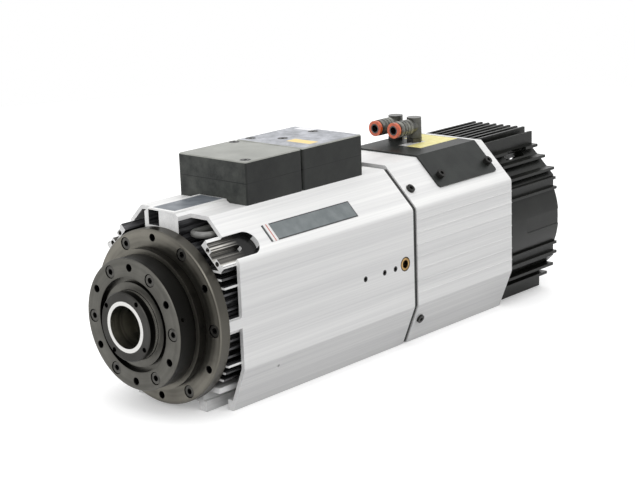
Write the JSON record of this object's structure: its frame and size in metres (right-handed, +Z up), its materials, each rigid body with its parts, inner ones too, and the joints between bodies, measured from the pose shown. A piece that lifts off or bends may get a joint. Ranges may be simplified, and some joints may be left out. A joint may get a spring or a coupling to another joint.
{
  "type": "motor spindle",
  "caption": "Air-cooled electrospindle with tool taper, drawbar and release cylinder, extruded ribbed housing, connection boxes, elbow air fittings and electric fan in a finned cowl.",
  "frame": {"origin": "on the spindle axis, in the front face of the nose cover", "axes": "+Y runs from the nose to the fan along the spindle axis, +Z is up from the resting feet to the connection boxes, and +X is to the side of the sensor screws and the label strip"},
  "size_m": [0.13, 0.4564, 0.1738],
  "materials": {
    "housing": "extruded, lengthwise brushed, clear anodised",
    "rear_housing": "extruded, lengthwise brushed, clear anodised",
    "joint_plate": "black flat gasket",
    "nose_cover": "turned, blackened",
    "front_flange": "turned, blackened",
    "ground_steel": "ground",
    "bearing_steel": "polished bearing steel",
    "cage": "fabric-reinforced resin",
    "dark_screw": "black oxide",
    "steel_screw": "zinc plated",
    "laminations": "varnished sheet stack",
    "end_rings": "cast",
    "windings": "enamelled copper",
    "spring_steel": "phosphated",
    "cylinder": "machined",
    "cowl": "cast, black anodised",
    "fan_plastic": "black moulded",
    "fan_frame": "die cast, painted dark",
    "guard": "black powder coat",
    "gasket": "flat black",
    "port_plate": "dark grey, fine texture",
    "nickel": "nickel-plated brass",
    "elbow": "black moulded",
    "sleeve": "grey ribbed",
    "release_ring": "orange-red moulded",
    "box": "dark grey-green moulded, satin",
    "terminal": "ivory moulded",
    "gland": "black polyamide",
    "cover_strip": "pale blue-grey",
    "plug": "moulded",
    "manifold": "machined",
    "hose": "smooth polyurethane, dark grey",
    "label": "pale grey-green foil, bare",
    "brass_plug": "turned"
  },
  "bodies": {
    "spindle_body": {"motor_housing": "housing", "rear_housing": "rear_housing", "joint_plate": "joint_plate", "nose_cover": "nose_cover", "front_flange": "front_flange", "nose_cover_screws": "steel_screw", "front_flange_screws": "steel_screw", "bearing_outer_rings": "bearing_steel", "stator_core": "laminations", "stator_windings": "windings", "rear_bearing_hub": "cylinder", "seam_screws": "dark_screw", "release_front_plate": "cylinder", "release_cylinder": "cylinder", "return_springs": "spring_steel", "fan_cowl": "cowl", "cowl_gasket": "gasket", "cowl_screws": "dark_screw", "fan_frame": "fan_frame", "fan_guard": "guard", "guard_screws": "dark_screw", "port_plate": "port_plate", "port_plate_screws": "dark_screw", "fitting_stems": "nickel", "power_box_base": "box", "power_box_lid": "box", "signal_box_base": "box", "signal_box_lid": "box", "lid_screws": "dark_screw", "terminal_blocks": "terminal", "cable_glands": "gland", "box_base_screws": "steel_screw", "channel_cover": "cover_strip", "channel_plug": "plug", "air_manifold": "manifold", "seal_air_hose": "hose", "label_strip": "label", "sensor_screws": "dark_screw", "brass_plug": "brass_plug"},
    "rotor": {"spindle_shaft": "ground_steel", "nose_ring": "ground_steel", "bearing_inner_rings": "bearing_steel", "shaft_locknut": "ground_steel", "rear_locknut": "ground_steel", "encoder_ring": "ground_steel", "rotor_core": "laminations", "rotor_end_rings": "end_rings", "drawbar_springs": "spring_steel"},
    "drawbar": {"drawbar": "ground_steel", "gripper": "ground_steel"},
    "bearing_cages": {"bearing_cages": "cage"},
    "piston": {"release_piston": "cylinder"},
    "fan": {"fan_impeller": "fan_plastic"},
    "left_elbow": {"left_elbow": "elbow", "left_sleeve": "sleeve"},
    "right_elbow": {"right_elbow": "elbow", "right_sleeve": "sleeve"},
    "left_collar": {"left_release_collar": "release_ring"},
    "right_collar": {"right_release_collar": "release_ring"}
  },
  "joints": [
    {"name": "shaft_spin", "type": "hinge", "parent": "spindle_body", "child": "rotor", "pos_m": [0, 0, 0], "axis": [0, 1, 0], "continuous": true},
    {"name": "bearing_cages_turn", "type": "hinge", "parent": "spindle_body", "child": "bearing_cages", "pos_m": [0, 0.03, 0], "axis": [0, 1, 0], "continuous": true},
    {"name": "piston_slide", "type": "slide", "parent": "spindle_body", "child": "piston", "axis": [0, -1, 0], "range_m": [0, 0.009], "stiffness_N_per_m": 2000, "springref_m": -0.004, "deforming": ["return_springs"]},
    {"name": "drawbar_slide", "type": "slide", "parent": "rotor", "child": "drawbar", "axis": [0, -1, 0], "range_m": [0, 0.008], "deforming": ["drawbar_springs"]},
    {"name": "fan_spin", "type": "hinge", "parent": "spindle_body", "child": "fan", "pos_m": [0, 0.417, 0], "axis": [0, 1, 0], "continuous": true},
    {"name": "left_elbow_swivel", "type": "hinge", "parent": "spindle_body", "child": "left_elbow", "pos_m": [-0.026, 0.331, 0.0815], "axis": [0, 0, -1], "range_deg": [-5, 150]},
    {"name": "right_elbow_swivel", "type": "hinge", "parent": "spindle_body", "child": "right_elbow", "pos_m": [-0.006, 0.331, 0.0815], "axis": [0, 0, 1], "range_deg": [-5, 150]},
    {"name": "left_collar_press", "type": "slide", "parent": "left_elbow", "child": "left_collar", "axis": [0, 1, 0], "range_m": [0, 0.0015], "stiffness_N_per_m": 300},
    {"name": "right_collar_press", "type": "slide", "parent": "right_elbow", "child": "right_collar", "axis": [0, 1, 0], "range_m": [0, 0.0015], "stiffness_N_per_m": 300}
  ],
  "couplings": [
    {"joint": "drawbar_slide", "follows": "piston_slide", "ratio": 0.88889},
    {"joint": "bearing_cages_turn", "follows": "shaft_spin", "ratio": 0.42}
  ]
}
